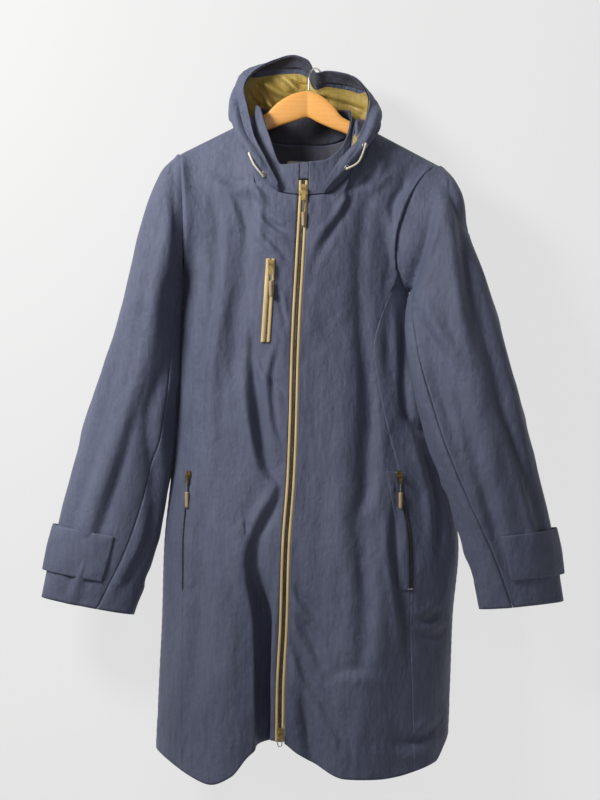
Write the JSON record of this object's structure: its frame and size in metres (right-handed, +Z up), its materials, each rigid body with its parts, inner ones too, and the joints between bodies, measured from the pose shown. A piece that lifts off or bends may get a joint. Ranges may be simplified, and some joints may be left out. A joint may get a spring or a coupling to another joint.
{
  "type": "hooded raincoat on a hanger",
  "caption": "Knee-length hooded raincoat with a zip front, chest and hip zip pockets and cuff tabs, hanging open-necked on a contoured wooden hanger with a wire hook.",
  "frame": {"origin": "inside top of the hanger's wire hook, where a peg or rail carries it", "axes": "+Z up, the coat's front faces -Y, +X to the right as seen from the front"},
  "size_m": [0.781, 0.1692, 1.0845],
  "materials": {
    "shell_cloth": "matt navy cotton-blend weave with a faint sheen",
    "hood_lining": "olive taffeta, satin",
    "wood": "clear varnish",
    "hook_wire": "polished wire",
    "zip_tape": "golden woven tape",
    "zip_teeth": "moulded teeth, dull",
    "brass": "antique, satin",
    "drawcord": "braided",
    "pull_cord": "braided",
    "pull_tip": "moulded, matt",
    "label": "blank woven"
  },
  "bodies": {
    "root": {"hanger": "wood", "hanger_hook": "hook_wire", "back_panel": "shell_cloth", "front_left": "shell_cloth", "front_side_left": "shell_cloth", "sleeve_upper_left": "shell_cloth", "sleeve_under_left": "shell_cloth", "cuff_tab_left": "shell_cloth", "hip_welt_left": "shell_cloth", "hip_zip_left": "zip_teeth", "front_right": "shell_cloth", "front_side_right": "shell_cloth", "sleeve_upper_right": "shell_cloth", "sleeve_under_right": "shell_cloth", "cuff_tab_right": "shell_cloth", "hip_welt_right": "shell_cloth", "hip_zip_right": "zip_teeth", "collar_outer": "shell_cloth", "collar_inner": "shell_cloth", "zip_garage": "shell_cloth", "back_neck_facing": "shell_cloth", "neck_label": "label", "hood_side_left": "shell_cloth", "hood_crown": "shell_cloth", "hood_side_right": "shell_cloth", "hood_lining": "hood_lining", "hood_facing": "shell_cloth", "zip_tape_left": "zip_tape", "zip_tape_right": "zip_tape", "zip_chain": "zip_teeth", "chest_zip_tape": "zip_tape", "chest_zip_chain": "zip_teeth", "main_zip_slider": "brass", "hem_zip_slider": "brass", "chest_zip_slider": "brass", "hip_zip_pull_left_slider": "brass", "hip_zip_pull_right_slider": "brass", "drawcord_left": "drawcord", "eyelet_left_high": "brass", "eyelet_left_low": "brass", "drawcord_right": "drawcord", "eyelet_right_high": "brass", "eyelet_right_low": "brass"},
    "main_zip_pull": {"main_zip_tab": "brass", "main_zip_cord": "pull_cord", "main_zip_tip": "pull_tip"},
    "hem_zip_pull": {"hem_zip_tab": "brass"},
    "chest_zip_pull": {"chest_zip_tab": "brass", "chest_zip_cord": "pull_cord", "chest_zip_tip": "pull_tip"},
    "hip_zip_pull_left": {"hip_zip_pull_left_tab": "brass", "hip_zip_pull_left_cord": "pull_cord", "hip_zip_pull_left_tip": "pull_tip"},
    "hip_zip_pull_right": {"hip_zip_pull_right_tab": "brass", "hip_zip_pull_right_cord": "pull_cord", "hip_zip_pull_right_tip": "pull_tip"}
  },
  "joints": [
    {"name": "main_zip_pull_swing", "type": "hinge", "parent": "root", "child": "main_zip_pull", "pos_m": [-0.02, -0.07935, -0.1882], "axis": [-1, 0, 0], "range_deg": [0, 150]},
    {"name": "hem_zip_pull_swing", "type": "hinge", "parent": "root", "child": "hem_zip_pull", "pos_m": [-0.05452, -0.11089, -0.986], "axis": [-1, 0, 0], "range_deg": [0, 150]},
    {"name": "chest_zip_pull_swing", "type": "hinge", "parent": "root", "child": "chest_zip_pull", "pos_m": [-0.068, -0.08481, -0.3], "axis": [-1, 0, 0], "range_deg": [0, 150]},
    {"name": "hip_zip_pull_left_swing", "type": "hinge", "parent": "root", "child": "hip_zip_pull_left", "pos_m": [-0.19249, -0.06929, -0.612], "axis": [-0.7648, 0.6442, 0], "range_deg": [0, 150]},
    {"name": "hip_zip_pull_right_swing", "type": "hinge", "parent": "root", "child": "hip_zip_pull_right", "pos_m": [0.12304, -0.08722, -0.612], "axis": [-0.9211, -0.3894, 0], "range_deg": [0, 150]}
  ]
}
